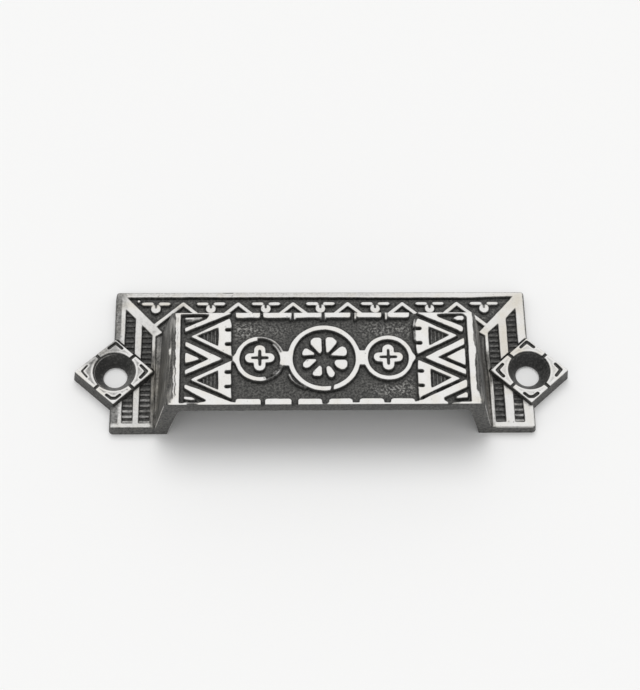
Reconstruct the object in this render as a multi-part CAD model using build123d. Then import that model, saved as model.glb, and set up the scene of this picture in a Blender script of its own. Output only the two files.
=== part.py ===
from build123d import *
import os
from math import atan2, cos, degrees, hypot, radians, sqrt, tan

# Cast iron drawer pull with a hooded finger grip and two screw ears, one casting.
# Millimetres. It lies on its mounting back at z = 0 with the face up. X runs along the
# length, +Y is the closed edge and -Y the side that fingers enter. The origin is midway
# between the two screw holes on the back.

# Fixing
hole_spacing = 88.9
screw_bore = 5.2
countersink_dia = 9.3
countersink_angle = 82

# Mounting plate
plate_length = 90.1
plate_to_front = 13.1
plate_to_rear = 20.15
plate_thickness = 2.6
casting_draft = 8
plate_corner_radius = 1.0
plate_arris_radius = 0.8
plate_relief = 0.7

# Diamond ears, half diagonals taken across the ear's top
ear_reach = 8.35
ear_half_height = 7.65
ear_rise = 1.0
ear_corner_radius = 0.4
ear_groove_width = 0.5
ear_groove_depth = 0.5
ear_chevron_inset = 1.35
ear_chevron_leg = 1.9
ear_chevron_width = 0.4

# Hood over the finger space
hood_height = 14.3
hood_length_rear = 63.6
hood_flare = 1.1
hood_to_rear = 8.43
hood_end_draft = 12.5
hood_rear_draft = 9.5
hood_shoulder_radius = 0.9
lip_thickness = 3.0
end_wall = 2.9
rear_wall = 2.2
hollow_end_draft = 15
hollow_corner_radius = 1.6

# Face layout
face_relief = 0.9
face_border = 1.6
border_groove = 1.3
end_panel_length = 9.6
edge_rim = 0.42
dash_count = 6
dash_gap = 1.2
dash_width = 1.25

# Three linked rings with a rosette and two crosses
main_ring_dia = 15.1
main_ring_band = 1.05
side_ring_dia = 10.25
side_ring_band = 0.85
neck_length = 0.685
neck_height = 3.3
neck_radius = 0.5
ring_tip_half_height = 1.2
rosette_dia = 9.3
rosette_spoke = 0.86
petal_corner_radius = 0.75
cross_span = 6.0
cross_arm = 2.4
cross_slit_length = 3.6
cross_slit_width = 0.38

# Triangles, chevrons and corner drops in the end panels
triangle_inset = 1.3
triangle_side_bar = 0.7
triangle_base_bar = 2.7
triangle_edge_gap = 1.18
triangle_middle_gap = 0.5
well_rib_count = 4
well_rib_pitch = 0.8
well_rib_width = 0.3
well_rib_height = 0.35
notch_length = 1.3
notch_width = 0.75
notch_offset = 1.63
channel_half_width = 1.08
chevron_tip_gap = 2.0
chevron_tip_depth = 2.85
chevron_end_width = 0.95
wedge_gap = 1.6
wedge_half_base = 1.5
corner_fill_length = 4.9
corner_fill_depth = 1.4
drop_length = 2.6
drop_width = 1.05
drop_edge_gap = 0.93

# Zigzag band between the hood and the closed edge of the plate
band_end_rim = 2.8
band_rear_rim = 1.8
zigzag_peaks = 6
zigzag_top_gap = 1.45
zigzag_foot_gap = 1.36
zigzag_width = 0.72
zigzag_bite = 0.5
ball_dia = 2.1
ball_drop = 1.15
ball_notch_width = 0.35
leaf_length = 2.6
leaf_width = 0.58
leaf_offset = 1.95

# Ribbed columns down the legs
leg_rim = 2.35
outer_column_width = 2.3
column_bar = 1.45
inner_column_width = 2.35
column_line = 0.55
foot_rim = 1.0
mitre_width = 1.9
column_rib_pitch = 1.27
column_rib_width = 0.5
column_rib_height = 0.35
valley_end_gap = 1.1

# Levels and lines that follow from the sizes above
spill = 1.0
ear_top = plate_thickness + ear_rise
draft_run = tan(radians(casting_draft))
front_line = -plate_to_front + plate_thickness * draft_run
hood_half = hood_length_rear / 2
hood_side_run = tan(radians(hood_end_draft))
hood_rear_run = tan(radians(hood_rear_draft))
hood_foot_y = hood_to_rear + (hood_height - plate_thickness) * hood_rear_run
hollow_run = tan(radians(hollow_end_draft))
hollow_height = hood_height - lip_thickness
plate_ground = plate_thickness - plate_relief
face_ground = hood_height - face_relief
face_middle = (hood_to_rear + front_line) / 2
face_half = (hood_to_rear - front_line) / 2
side_ring_offset = (main_ring_dia + side_ring_dia) / 2 + neck_length
border_inner = hood_half - face_border
panel_outer = border_inner - border_groove
panel_inner = panel_outer - end_panel_length
triangle_apex = panel_outer - triangle_inset
triangle_half_base = (face_half - triangle_edge_gap - triangle_middle_gap) / 2
triangle_middle = triangle_middle_gap + triangle_half_base
triangle_slope = triangle_half_base / (triangle_apex - panel_inner)
well_base = panel_inner + triangle_base_bar
band_half = plate_length / 2 - band_end_rim
band_top = plate_to_rear - band_rear_rim
zigzag_peak = band_top - zigzag_top_gap
zigzag_valley = hood_foot_y + zigzag_foot_gap
outer_column_end = plate_length / 2 - leg_rim
inner_column_end = outer_column_end - outer_column_width - column_bar
valley_edge = inner_column_end - inner_column_width - column_line


def polygon(*points):
    """Flat face through the points, in order."""
    return make_face(Polyline(*points, close=True))


def both_ends(shape):
    """A shape and its mirror image at the other end of the pull."""
    return shape + mirror(shape, Plane.YZ)


def both_sides(shape):
    """A shape and its mirror image across its own X axis."""
    return shape + mirror(shape, Plane.XZ)


def hood_outline(height, inset_ends=0, inset_rear=0, front=front_line):
    """Section of the hood at a height, which widens towards the front."""
    drop = hood_height - height
    rear = hood_to_rear + drop * hood_rear_run - inset_rear
    depth = hood_to_rear - front_line
    rear_half = hood_half + drop * hood_side_run - inset_ends
    front_half = rear_half + hood_flare * (hood_to_rear - front) / depth
    return polygon((-rear_half, rear), (rear_half, rear), (front_half, front), (-front_half, front))


def plate_body():
    """Drafted plate with its three outer arrises rounded, cut square along the front."""
    depth = plate_to_front + plate_to_rear
    outline = Pos(0, (plate_to_rear - plate_to_front) / 2) * Rectangle(plate_length, depth)
    body = extrude(outline, plate_thickness, taper=casting_draft)
    corners = body.edges().filter_by(lambda e: abs(e.center().Z - plate_thickness / 2) < 0.1)
    rear_corners = corners.sort_by(Axis.Y)[-2:]
    body = fillet(rear_corners, plate_corner_radius)
    top_edges = body.faces().sort_by(Axis.Z)[-1].edges()
    return fillet(top_edges.sort_by(Axis.Y)[1:], plate_arris_radius)


def ear_body():
    """One drafted diamond, standing higher than the plate."""
    side_distance = ear_reach * ear_half_height / hypot(ear_reach, ear_half_height)
    growth = 1 + ear_top * draft_run / side_distance
    reach = ear_reach * growth
    half_height = ear_half_height * growth
    foot = polygon((reach, 0), (0, half_height), (-reach, 0), (0, -half_height))
    body = extrude(foot, ear_top, taper=casting_draft)
    uprights = body.edges().filter_by(lambda e: e.bounding_box().size.Z > ear_top / 2)
    return fillet(uprights, ear_corner_radius)


def ear_chevron(tip, slope):
    """Chevron line that points along +X, its arms falling back at the slope of the ear's sides."""
    back = ear_chevron_leg / hypot(1, slope)
    line = ear_chevron_width * hypot(1, slope) / slope
    outer = [(tip - back, back * slope), (tip, 0), (tip - back, -back * slope)]
    inner = [(x - line, y) for x, y in reversed(outer)]
    return polygon(*outer, *inner)


def ear_grooves():
    """Lines that part an ear's top into four corner leaves, each with a chevron cut in it."""
    slope = ear_half_height / ear_reach
    side_angle = degrees(atan2(ear_half_height, ear_reach))
    parting = Rectangle(2 * ear_reach, ear_groove_width)
    partings = [Rot(0, 0, turn) * parting for turn in (side_angle, -side_angle)]
    along = ear_chevron(ear_reach - ear_chevron_inset, slope)
    across = Rot(0, 0, 90) * ear_chevron((ear_reach - ear_chevron_inset) * slope, 1 / slope)
    grooves = Sketch() + partings + [both_ends(along), both_sides(across)]
    return extrude(Pos(0, 0, ear_top - ear_groove_depth) * grooves, ear_groove_depth + spill)


def screw_cut():
    """Clearance bore with its countersink, through an ear."""
    bore_radius = screw_bore / 2
    sink_radius = countersink_dia / 2
    sink_depth = (sink_radius - bore_radius) / tan(radians(countersink_angle / 2))
    bore = Pos(0, 0, ear_top / 2) * Cylinder(bore_radius, ear_top + 2 * spill)
    sink = Pos(0, 0, ear_top - sink_depth / 2) * Cone(bore_radius, sink_radius, sink_depth)
    mouth = Pos(0, 0, ear_top + spill / 2) * Cylinder(sink_radius, spill)
    return bore + sink + mouth


def leg_columns():
    """Outlines of the two ribbed columns on the right leg, their tops cut by the mitre."""
    foot = front_line + foot_rim
    mitre_drop = band_half - band_top + mitre_width * sqrt(2)
    columns = Sketch()
    for end, width in ((inner_column_end, inner_column_width), (outer_column_end, outer_column_width)):
        start = end - width
        columns += polygon((start, foot), (end, foot), (end, end - mitre_drop),
                           (start, start - mitre_drop))
    return columns


def leg_valley():
    """Outline of the sunk strip between the columns and the right foot of the hood."""
    front = front_line - spill
    rear = hood_foot_y - valley_end_gap
    return polygon((hood_half, front), (valley_edge, front), (valley_edge, rear),
                   (hood_half, rear + valley_edge - hood_half))


def band_field():
    """Outline of the sunk band over the hood."""
    foot_half = band_half - (band_top - hood_to_rear)
    return polygon((-band_half, band_top), (band_half, band_top),
                   (foot_half, hood_to_rear), (-foot_half, hood_to_rear))


def band_motif():
    """Notched ball with a leaf at each side, drawn about the leaves' line."""
    ball = Circle(ball_dia / 2) - Pos(0, ball_dia / 2) * Rectangle(ball_notch_width, ball_dia / 2)
    point = leaf_length / 2
    flat = point - leaf_width / 2
    leaf = polygon((-point, 0), (-flat, leaf_width / 2), (flat, leaf_width / 2), (point, 0),
                   (flat, -leaf_width / 2), (-flat, -leaf_width / 2))
    return Pos(0, -ball_drop) * ball + both_ends(Pos(leaf_offset, 0) * leaf)


def band_ornament():
    """Zigzag line with a ball and leaves over each valley."""
    zigzag_end = band_half - (band_top - zigzag_valley) + zigzag_bite
    half_pitch = zigzag_end / zigzag_peaks
    rise = zigzag_peak - zigzag_valley
    half_tall = zigzag_width / cos(atan2(rise, half_pitch)) / 2
    turns = range(-zigzag_peaks, zigzag_peaks + 1)
    line = [(i * half_pitch, zigzag_peak - rise * ((i + zigzag_peaks + 1) % 2)) for i in turns]
    upper = [(x, y + half_tall) for x, y in line]
    lower = [(x, y - half_tall) for x, y in reversed(line)]
    motifs = [Pos(i * half_pitch, zigzag_peak) * band_motif() for i in turns[::2]]
    return Sketch() + [polygon(*upper, *lower)] + motifs


def column_ribs():
    """Ladder of low ribs across the columns of the right leg."""
    columns = leg_columns()
    reach = columns.bounding_box()
    rib = Rectangle(reach.size.X + spill, column_rib_width)
    count = int(reach.size.Y / column_rib_pitch)
    places = [reach.min.Y + (i + 0.75) * column_rib_pitch for i in range(count)]
    return (Sketch() + [Pos(reach.center().X, y) * rib for y in places]) & columns


def ring_row():
    """Three linked rings with their pointed outer ends."""
    big, small = main_ring_dia / 2, side_ring_dia / 2
    tip_root = side_ring_offset + sqrt(small ** 2 - ring_tip_half_height ** 2)
    tip = polygon((tip_root, ring_tip_half_height), (panel_inner, 0), (tip_root, -ring_tip_half_height),
                  (side_ring_offset + small - side_ring_band / 2, 0))
    neck_end = side_ring_offset - small
    neck = Pos((big + neck_end) / 2, 0) * Rectangle(neck_end - big + 2 * spill, neck_height)
    side_disc = Pos(side_ring_offset, 0) * Circle(small)
    discs = Circle(big) + both_ends(side_disc + neck)
    joints = discs.vertices().filter_by(lambda v: big - spill < abs(v.X) < neck_end + spill)
    discs = fillet(joints, neck_radius) + both_ends(tip)
    side_hole = Pos(side_ring_offset, 0) * Circle(small - side_ring_band)
    return discs - (Circle(big - main_ring_band) + both_ends(side_hole))


def rosette():
    """Disc parted into eight petals by four crossing spokes."""
    spokes = [Rot(0, 0, 45 * k) * Rectangle(rosette_dia + spill, rosette_spoke) for k in range(4)]
    petals = Circle(rosette_dia / 2) - spokes
    rim = petals.vertices().filter_by(lambda v: hypot(v.X, v.Y) > rosette_dia / 3)
    return fillet(rim, petal_corner_radius)


def cross():
    """Round-armed cross with a thin slit along each arm."""
    turns = (Rot(0, 0, 0), Rot(0, 0, 90))
    arms = Sketch() + [turn * SlotOverall(cross_span, cross_arm) for turn in turns]
    slits = Sketch() + [turn * Rectangle(cross_slit_length, cross_slit_width) for turn in turns]
    return arms - slits


def dash_rows():
    """Broken edge lines along the rear and the front of the face."""
    pitch = 2 * panel_inner / dash_count
    dash = Rectangle(pitch - dash_gap, 2 * dash_width)
    places = [(i - (dash_count - 1) / 2) * pitch for i in range(dash_count)]
    return Sketch() + [Pos(x, side * face_half) * dash for x in places for side in (-1, 1)]


def triangle_well():
    """Sunk centre of the upper right triangle."""
    apex = triangle_apex - triangle_side_bar * hypot(1, triangle_slope) / triangle_slope
    half_base = (apex - well_base) * triangle_slope
    return polygon((apex, triangle_middle), (well_base, triangle_middle + half_base),
                   (well_base, triangle_middle - half_base))


def triangle_frame():
    """Upper right triangle of an end panel, with its sunk well and two edge notches."""
    frame = polygon((triangle_apex, triangle_middle), (panel_inner, triangle_middle + triangle_half_base),
                    (panel_inner, triangle_middle - triangle_half_base))
    notch = Rectangle(2 * notch_length, notch_width)
    notches = [Pos(panel_inner, triangle_middle + side * notch_offset) * notch for side in (-1, 1)]
    return frame - triangle_well() - notches


def well_ribs():
    """Low ribs in the wells of the right end panel, parallel to the panel's inner edge."""
    rib = Rectangle(well_rib_width, 2 * triangle_half_base)
    places = [well_base + (i + 0.8) * well_rib_pitch for i in range(well_rib_count)]
    ribs = Sketch() + [Pos(x, triangle_middle) * rib for x in places]
    return both_sides(ribs & triangle_well())


def centre_chevron():
    """Chevron and solid wedge that point at the rings from the right end panel."""
    outer_y = triangle_middle - channel_half_width
    tip = panel_inner + chevron_tip_gap
    crotch = tip + chevron_tip_depth
    chevron = polygon((panel_outer, outer_y), (tip, 0), (panel_outer, -outer_y),
                      (panel_outer, chevron_end_width - outer_y), (crotch, 0),
                      (panel_outer, outer_y - chevron_end_width))
    wedge = polygon((panel_outer, wedge_half_base), (crotch + wedge_gap, 0),
                    (panel_outer, -wedge_half_base))
    return chevron + wedge


def half_chevron():
    """Band that climbs from the right border into the rear corner of the ring panel."""
    outer_y = triangle_middle + channel_half_width
    edge = face_half + spill
    fill_x = panel_inner + corner_fill_length
    return polygon((panel_outer, outer_y), (panel_outer, outer_y + chevron_end_width),
                   (fill_x, face_half - corner_fill_depth), (fill_x, edge), (panel_inner, edge),
                   (panel_inner, outer_y + triangle_slope * end_panel_length))


def corner_drop():
    """Pointed drop in the rear right corner of the face."""
    outer_y = face_half - drop_edge_gap
    return polygon((panel_outer, outer_y - drop_width), (panel_outer, outer_y),
                   (panel_outer - drop_length, outer_y))


def end_panel():
    """Raised shapes of the right end panel."""
    rim = Rectangle(border_inner - panel_inner, 2 * edge_rim)
    rims = both_sides(Pos((panel_inner + border_inner) / 2, face_half) * rim)
    return centre_chevron() + both_sides(triangle_frame() + half_chevron() + corner_drop()) + rims


def face_ground_cut():
    """Everything that is sunk between the raised shapes of the face."""
    field = Rectangle(2 * border_inner, 2 * (face_half + spill))
    crosses = both_ends(Pos(side_ring_offset, 0) * cross())
    raised = Sketch() + [ring_row(), rosette(), crosses, dash_rows(), both_ends(end_panel())]
    return extrude(Pos(0, face_middle, face_ground) * (field - raised), face_relief + spill)


def bin_pull():
    """The casting: plate, hood and ears fused, then hollowed, bored and cut with its relief."""
    ears = both_ends(Pos(hole_spacing / 2, 0) * ear_body())
    hood = loft([Pos(0, 0, z) * hood_outline(z) for z in (0, hood_height)])
    shoulders = hood.faces().sort_by(Axis.Z)[-1].edges().sort_by(Axis.X)
    hood = fillet([shoulders[0], shoulders[-1]], hood_shoulder_radius)

    sunk = (both_ends(leg_columns() + leg_valley()) + band_field()) - band_ornament()
    plate = plate_body() - extrude(Pos(0, 0, plate_ground) * sunk, plate_relief + spill)
    plate += extrude(Pos(0, 0, plate_ground) * both_ends(column_ribs()), column_rib_height)

    ceiling_wall = end_wall + hollow_height * (hollow_run - hood_side_run)
    mouth = hood_outline(0, end_wall, rear_wall, -plate_to_front - spill)
    ceiling = hood_outline(hollow_height, ceiling_wall, rear_wall, -plate_to_front - spill)
    hollow = loft([mouth, Pos(0, 0, hollow_height) * ceiling])
    rounded = hollow.edges().filter_by(lambda e: e.center().Y > -plate_to_front and e.center().Z > spill)
    hollow = fillet(rounded, hollow_corner_radius)

    casting = (plate + hood + ears) - hollow
    casting -= both_ends(Pos(hole_spacing / 2, 0) * (screw_cut() + ear_grooves()))
    casting -= face_ground_cut()
    return casting + extrude(Pos(0, face_middle, face_ground) * both_ends(well_ribs()), well_rib_height)


os.makedirs("parts", exist_ok=True)
export_step(bin_pull(), "parts/bin_pull.step")
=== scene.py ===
import bpy
import math
import numpy as np
from mathutils import Matrix, Vector
from mathutils.geometry import delaunay_2d_cdt


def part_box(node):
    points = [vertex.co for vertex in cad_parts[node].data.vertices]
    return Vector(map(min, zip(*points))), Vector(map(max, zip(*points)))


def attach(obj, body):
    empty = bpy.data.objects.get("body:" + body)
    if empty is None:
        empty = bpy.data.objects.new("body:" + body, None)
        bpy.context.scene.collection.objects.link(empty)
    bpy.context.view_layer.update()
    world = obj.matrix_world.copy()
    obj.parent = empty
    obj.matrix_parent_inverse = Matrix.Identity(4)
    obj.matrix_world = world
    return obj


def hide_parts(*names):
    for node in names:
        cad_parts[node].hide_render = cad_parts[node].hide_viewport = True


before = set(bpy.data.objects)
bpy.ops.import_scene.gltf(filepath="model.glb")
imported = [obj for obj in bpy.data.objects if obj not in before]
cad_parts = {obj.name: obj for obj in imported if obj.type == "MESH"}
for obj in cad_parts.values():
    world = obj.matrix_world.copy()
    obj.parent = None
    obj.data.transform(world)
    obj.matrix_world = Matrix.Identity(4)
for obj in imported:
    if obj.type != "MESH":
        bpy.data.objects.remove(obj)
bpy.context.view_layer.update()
pullLow, pullHigh = [corner * 1000 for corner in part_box("bin_pull")]
mm = 0.001

# sizes in millimetres; the solid has the same but for the legs' flare and corners, the ears' corners
# and the countersinks
casting = {
    "holeX": 44.45, "boreRadius": 2.6, "sinkRadius": 4.65, "sinkHalfAngle": 36.5,
    "plateHalf": 45.05, "plateTop": 2.6, "plateDraft": 8, "plateCorner": 1.0, "plateArris": 0.8,
    "plateRelief": 0.7, "legFlare": 0.38, "flareBelow": (3.0, 9.0), "legCorner": 0.9, "legCornerArris": 0.35,
    "earReach": 8.35, "earHalfHeight": 7.65, "earTop": 3.6, "earCorner": 0.65, "earArris": 0.28,
    "outerReach": 1.012, "earRelief": 0.5,
    "hoodHalf": 31.8, "hoodFlare": 1.1, "hoodRear": 8.43, "hoodEndDraft": 12.5, "hoodRearDraft": 9.5,
    "shoulder": 0.9, "rearArris": 0.22, "faceRelief": 0.9,
    "endWall": 2.9, "rearWall": 2.2, "lip": 3.0, "hollowDraft": 15, "hollowCorner": 1.6,
    "frontArris": 0.2, "leftLegArris": 0.42, "leftLegX": -35.9,
    "reliefArris": 0.11, "foot": 0.3, "earFoot": 0.16, "footShare": 0.93,
}
top = pullHigh.z
plateRun, endRun, rearRun, hollowRun, sinkRun = [
    math.tan(math.radians(casting[name]))
    for name in ("plateDraft", "hoodEndDraft", "hoodRearDraft", "hollowDraft", "sinkHalfAngle")]
frontLine = pullLow.y + casting["plateTop"] * plateRun
ceiling = top - casting["lip"]
faceGround = top - casting["faceRelief"]
plateGround = casting["plateTop"] - casting["plateRelief"]
earGround = casting["earTop"] - casting["earRelief"]

# the drawing board: every outline is kept on it as the distance in from the edge
board = {"left": -54.0, "step": 0.1, "columns": 1081, "rows": 335, "far": 1.5,
         "longWave": 2.3, "shortWave": 0.8, "shortShare": 0.6}
boardX, boardY = np.meshgrid(board["left"] + board["step"] * np.arange(board["columns"]),
                             frontLine + board["step"] * np.arange(board["rows"]))


def blend(field, i, j, u, v):
    # between the four neighbours of a spot on a grid
    near = field[j, i] * (1 - u) + field[j, i + 1] * u
    return near * (1 - v) + (field[j + 1, i] * (1 - u) + field[j + 1, i + 1] * u) * v


def sample(field, x, y):
    u = np.clip((x - board["left"]) / board["step"], 0, board["columns"] - 1.001)
    v = np.clip((y - frontLine) / board["step"], 0, board["rows"] - 1.001)
    i, j = u.astype(int), v.astype(int)
    return blend(field, i, j, u - i, v - j)


def soften(field, reach):
    # rounds the corners of an outline, as moulding sand and wear do
    spread = np.arange(-4, 5) * board["step"]
    weights = np.exp(-(spread / reach) ** 2 / 2)
    weights /= weights.sum()
    for axis in (0, 1):
        padded = np.pad(field, [(4, 4) if a == axis else (0, 0) for a in (0, 1)], mode="edge")
        size = field.shape[axis]
        field = sum(w * np.take(padded, range(k, k + size), axis) for k, w in enumerate(weights))
    return field


def unevenness(seed, size):
    # smooth random field between about -1 and 1, its bumps a given size across
    x, y = (boardX - board["left"]) / size, (boardY - frontLine) / size
    lattice = np.random.default_rng(seed).uniform(-1, 1, (int(y.max()) + 3, int(x.max()) + 3))
    i, j = x.astype(int), y.astype(int)
    u, v = x - i, y - j
    return blend(lattice, i, j, u * u * (3 - 2 * u), v * v * (3 - 2 * v))


def awayFrom(x, y, start, end):
    # distance from a straight piece of line
    (ax, ay), (bx, by) = start, end
    dx, dy = bx - ax, by - ay
    along = np.clip(((x - ax) * dx + (y - ay) * dy) / (dx ** 2 + dy ** 2), 0, 1)
    return np.hypot(x - ax - along * dx, y - ay - along * dy)


def polygonIn(x, y, points):
    # distance in from a polygon's edge, negative outside
    nearest = np.full(x.shape, 1e9)
    inside = np.zeros(x.shape, bool)
    for (ax, ay), (bx, by) in zip(points, points[1:] + points[:1]):
        nearest = np.minimum(nearest, awayFrom(x, y, (ax, ay), (bx, by)))
        if ay != by:
            inside ^= ((ay > y) != (by > y)) & (x < ax + (bx - ax) * (y - ay) / (by - ay))
    return np.where(inside, nearest, -nearest)


def lineIn(x, y, points, width):
    # distance in from the edge of a drawn line, negative outside
    nearest = np.full(x.shape, 1e9)
    for start, end in zip(points, points[1:]):
        nearest = np.minimum(nearest, awayFrom(x, y, start, end))
    return width / 2 - nearest


class Relief:
    # raised and sunk shapes of one level, drawn one over the other
    def __init__(self, start):
        self.depth = start.copy()

    def put(self, low, high, distance, sunk):
        far = board["far"]
        i0, i1 = [int((x - board["left"]) / board["step"]) for x in (low[0] - far, high[0] + far)]
        j0, j1 = [int((y - frontLine) / board["step"]) for y in (low[1] - far, high[1] + far)]
        part = (slice(max(j0, 0), max(j1 + 2, 0)), slice(max(i0, 0), max(i1 + 2, 0)))
        d = distance(boardX[part], boardY[part])
        self.depth[part] = np.minimum(self.depth[part], -d) if sunk else np.maximum(self.depth[part], d)

    def shape(self, points, sunk=False):
        xs, ys = zip(*points)
        self.put((min(xs), min(ys)), (max(xs), max(ys)), lambda x, y: polygonIn(x, y, points), sunk)

    def line(self, points, width, sunk=False):
        xs, ys = zip(*points)
        self.put((min(xs), min(ys)), (max(xs), max(ys)), lambda x, y: lineIn(x, y, points, width), sunk)

    def disc(self, centre, radius, sunk=False):
        low, high = [c - radius for c in centre], [c + radius for c in centre]
        self.put(low, high, lambda x, y: radius - np.hypot(x - centre[0], y - centre[1]), sunk)

    def bar(self, x0, x1, y0, y1, sunk=False):
        self.shape([(x0, y0), (x1, y0), (x1, y1), (x0, y1)], sunk)

    def finish(self, seed, reach, waver):
        # soft corners, and edges that waver in long and in short waves
        waves = unevenness(seed + 1, board["shortWave"]) * board["shortShare"]
        waves = unevenness(seed, board["longWave"]) + waves
        return soften(self.depth, reach) + waver * waves


def arc(centre, radius, start, end, steps=24):
    angles = [math.radians(start + (end - start) * i / steps) for i in range(steps + 1)]
    return [(centre[0] + radius * math.cos(a), centre[1] + radius * math.sin(a)) for a in angles]


def turned(points, side):
    return [(side * x, y) for x, y in points]


# the face of the hood, read off the photograph; y is measured from the line of the screw holes
face = {
    "borderInner": (-30.0, 30.27), "borderOuter": (-30.78, 31.38),
    # rings: centre, outer and inner radius
    "mainRing": ((0, -2.2), 7.53, 6.6),
    "leftRing": ((-13.38, -2.37), 5.1, 4.28),
    "rightRing": ((13.37, -2.17), 5.1, 4.29),
    "neckHalf": 1.6, "neckOverlap": 0.3, "tipX": 19.0, "tipHalf": 0.3, "tipRootHalf": 1.7, "tipOverlap": 0.5,
    # arcs lost from the left ring, and the thin outlines left of it: inset, from, to, width
    "lostArcs": [(88, 26), (-66, -27)], "lostWider": 0.7,
    "outerRemains": [(0.13, 94, 20, 0.21), (0.18, -72, -20, 0.21)],
    "innerRemains": [(0.02, 50, 12, 0.2), (0.04, -52, -24, 0.18)],
    "mainRingCut": ([(1.35, -10.2), (1.75, -8.4)], 0.55),
    # rows of dashes: far and near edge, depth of the cut corners and their width to the left and right
    "dashRows": [(9.6, 7.28, 0.22, (0.28, 0.28), [(-18.35, -13.35), (-12.59, -6.93), (-5.96, -0.52),
                                                  (0.43, 5.7), (7.07, 12.17), (13.7, 18.04)]),
                 (-13.6, -11.6, -0.28, (0.28, 0.42), [(-18.3, -13.24), (-12.26, -6.93), (-5.5, -0.63),
                                                      (0.87, 5.65), (7.17, 12.17), (13.59, 18.5)])],
    "frontBars": [(0.6, 19.5, -13.6, -12.5), (-5.2, 0.8, -13.6, -12.72)],
    "ticks": [(-6.88, 0.22), (-6.02, 0.22), (-0.47, 0.22), (0.38, 0.22), (6.7, 0.32), (13.2, 0.32)],
    "tickEnds": (6.95, 8.6),
    # crosses: centre, half width and height, width of the upright and level arm
    "crosses": [((-13.39, -2.18), 3.04, 2.91, 2.35, 2.1), ((13.37, -2.05), 3.04, 2.9, 2.35, 2.05)],
    "slitHalf": 1.58, "slitWidth": 0.66, "heartHalf": (0.9, 0.45),
    # thin flash that ran out of the mould joints, with its width
    "flash": [([(-7.3, -6.0), (-6.75, -7.2), (-5.65, -8.25), (-4.8, -8.65), (-4.0, -9.05)], 0.21),
              ([(-28.9, -12.45), (-26.2, -12.5)], 0.2), ([(19.0, 2.0), (18.92, 5.2), (19.25, 6.9)], 0.2),
              ([(-28.8, 6.3), (-25.9, 6.9)], 0.15), ([(26.1, -12.8), (26.9, -12.62), (28.2, -12.6)], 0.22)],
    # notches in the frames of the panels: from, to, width
    "notch": (-0.2, 1.2, 0.92), "notchLip": [(0.25, -0.62), (0.72, -0.2), (0.72, -0.62)], "rimWidth": 0.42,
    "wellRibXs": (22.65, 23.45, 24.25, 25.0), "wellRibYs": (2.9, -7.15), "wellRibHalf": 0.15,
    "wellTip": 26.2, "wellSlope": 0.5, "wellRibSoften": 0.09,
    "soften": 0.135, "waver": 0.045,
}
petals = [
    [(-2.75, 1.9), (-2.1, 2.5), (-0.9, 2.5), (-0.5, 2.2), (-0.5, -0.6), (-0.8, -1.15), (-1.05, -1.05),
     (-2.8, 1.0)],
    [(-4.45, -0.9), (-4.1, -0.1), (-3.6, 0.0), (-2.05, -1.15), (-2.1, -1.5), (-4.3, -1.6), (-4.5, -1.4)],
    [(-3.6, -2.6), (-1.7, -2.55), (-1.65, -2.9), (-3.3, -4.4), (-3.9, -4.5), (-4.4, -4.1), (-4.3, -3.4)],
    [(-0.95, -3.95), (-0.55, -4.4), (-0.5, -5.9), (-0.9, -6.4), (-2.2, -6.35), (-2.5, -5.9), (-2.3, -5.4)],
    [(0.4, 2.2), (0.8, 2.6), (1.9, 2.5), (2.7, 1.6), (2.5, 1.0), (0.9, -0.95), (0.45, -1.0)],
    [(1.25, -1.6), (3.2, 0.15), (3.8, 0.45), (4.5, 0.1), (4.8, -0.8), (4.6, -1.6), (4.0, -1.8)],
    [(2.25, -3.0), (2.6, -2.75), (4.4, -2.7), (4.8, -3.1), (4.75, -4.2), (4.2, -4.8), (3.5, -4.9),
     (2.6, -4.3), (2.2, -3.6)],
    [(0.45, -4.4), (0.9, -4.1), (1.4, -4.5), (2.2, -5.7), (2.0, -6.4), (1.5, -6.75), (0.9, -6.5),
     (0.5, -5.6)],
]
leftPanel = {
    "frames": [[(-27.75, 2.83), (-19.7, 7.0), (-19.35, 5.5), (-19.35, -1.3), (-19.05, -1.85)],
               [(-27.75, -7.15), (-19.05, -2.7), (-19.35, -3.3), (-19.35, -10.3), (-19.25, -11.4),
                (-25.0, -8.5)]],
    "wells": [[(-26.6, 3.0), (-21.95, 5.05), (-21.95, 0.45)],
              [(-26.6, -7.3), (-21.95, -4.95), (-21.95, -9.5)]],
    "notches": [(-20.05, 4.42), (-20.05, 1.04), (-20.1, -5.45), (-20.1, -8.76)],
    "chevron": [(-28.85, 1.63), (-21.2, -2.35), (-28.85, -5.95), (-28.85, -5.0), (-23.9, -2.4),
                (-28.85, 0.65)],
    "wedge": [(-28.85, -0.86), (-25.75, -2.4), (-28.85, -3.32)],
    "climbs": [[(-28.95, 4.0), (-28.95, 4.8), (-24.5, 6.95), (-24.05, 7.7), (-23.9, 9.4), (-19.2, 9.4),
                (-19.6, 8.2), (-20.8, 7.65)],
               [(-28.9, -8.2), (-28.9, -9.1), (-24.4, -11.75), (-24.5, -12.15), (-26.0, -12.45),
                (-26.0, -13.6), (-18.4, -13.6), (-18.4, -12.45), (-19.3, -12.3), (-25.0, -9.75)]],
    "drops": [[(-29.0, 7.22), (-29.0, 6.82), (-25.4, 7.08), (-25.4, 7.38)],
              [(-28.95, -10.95), (-28.95, -11.55), (-27.4, -11.8), (-26.6, -11.65), (-27.4, -11.2)]],
    "rims": [[(-30.4, 8.3), (-28.6, 8.38), (-24.0, 8.3)], [(-30.4, -12.75), (-28.6, -12.8)]],
}
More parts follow.
